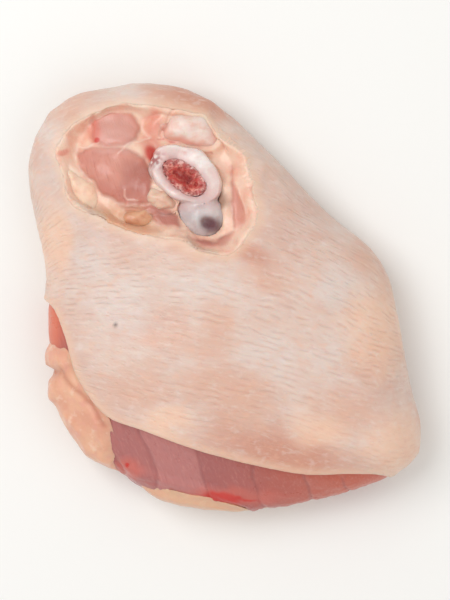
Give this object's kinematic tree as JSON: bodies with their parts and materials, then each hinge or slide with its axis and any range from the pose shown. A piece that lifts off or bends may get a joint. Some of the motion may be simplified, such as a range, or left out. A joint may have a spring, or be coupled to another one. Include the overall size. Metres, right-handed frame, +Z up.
{
  "type": "chicken thigh",
  "caption": "Raw chicken thigh with bone and skin, lying skin side up, with the cut knee joint at one end and a crescent of bare muscle at the other.",
  "frame": {"origin": "on the flat underside, below the middle of the part's box", "axes": "+Z up from the underside to the skin, +Y towards the cut knee joint, +X towards the full side of the thigh"},
  "size_m": [0.1042, 0.1136, 0.0304],
  "materials": {
    "skin": "raw skin, moist satin, pale pinkish cream with faint yellow and pink patches, fine creases and pores",
    "meat": "raw muscle, moist, mauve pink with fine fibres, pale seams and small red spots",
    "fat": "raw fat, moist satin, cream to pale yellow orange",
    "bone": "wet cartilage, glossy, white with a bluish cast",
    "marrow": "cut spongy bone, wet, deep red with pale bone between its pores"
  },
  "bodies": {
    "root": {"meat": "meat", "skin": "skin", "skin_flap": "skin", "bone": "bone", "marrow": "marrow", "fat_band": "fat", "fat_pad": "fat", "fat_lump": "fat", "fat_patch": "fat"}
  },
  "joints": []
}
